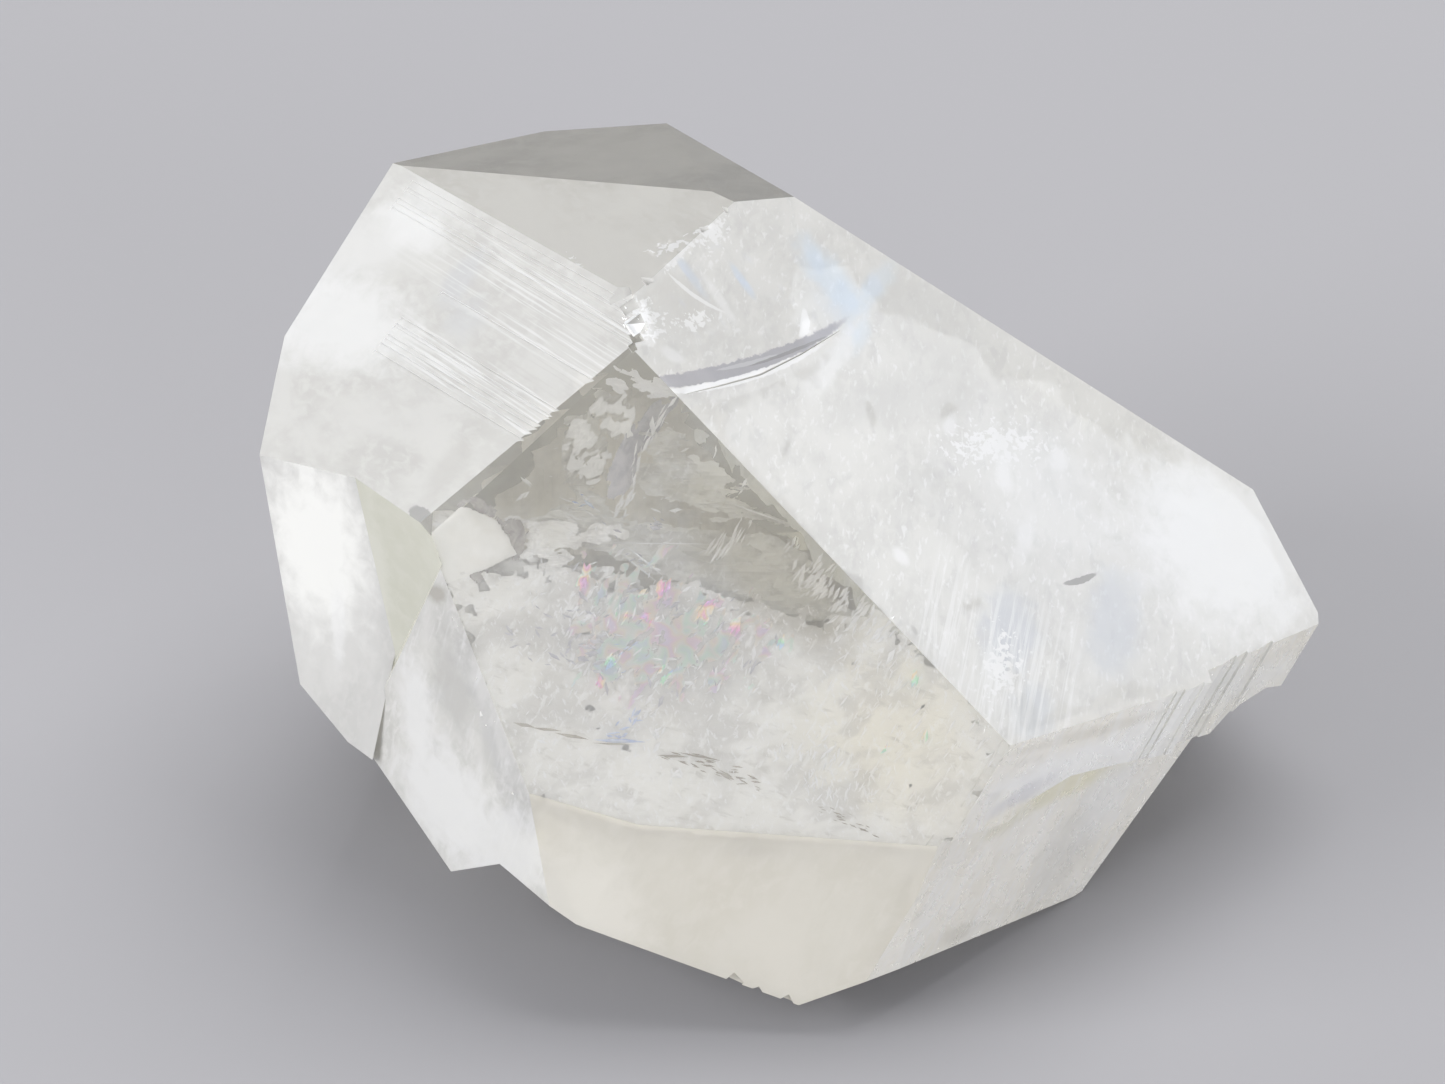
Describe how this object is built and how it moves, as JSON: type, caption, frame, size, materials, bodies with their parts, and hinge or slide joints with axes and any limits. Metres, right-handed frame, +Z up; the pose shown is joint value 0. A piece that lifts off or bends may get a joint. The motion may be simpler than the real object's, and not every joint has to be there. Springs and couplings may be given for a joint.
{
  "type": "calcite crystal",
  "caption": "Clear to milky calcite crystal with large flat growth faces, a striated shoulder, a side plate and a stepped broken end, a display specimen that lies on its base.",
  "frame": {"origin": "middle of the base, on the surface the crystal lies on", "axes": "+X along the long milky face towards the broken end, -Y out of the clear front face, +Z up"},
  "size_m": [0.0698, 0.0532, 0.0389],
  "materials": {
    "calcite": "vitreous cleavage and growth faces, clear to milky inside"
  },
  "bodies": {
    "root": {"calcite_crystal": "calcite"}
  },
  "joints": []
}
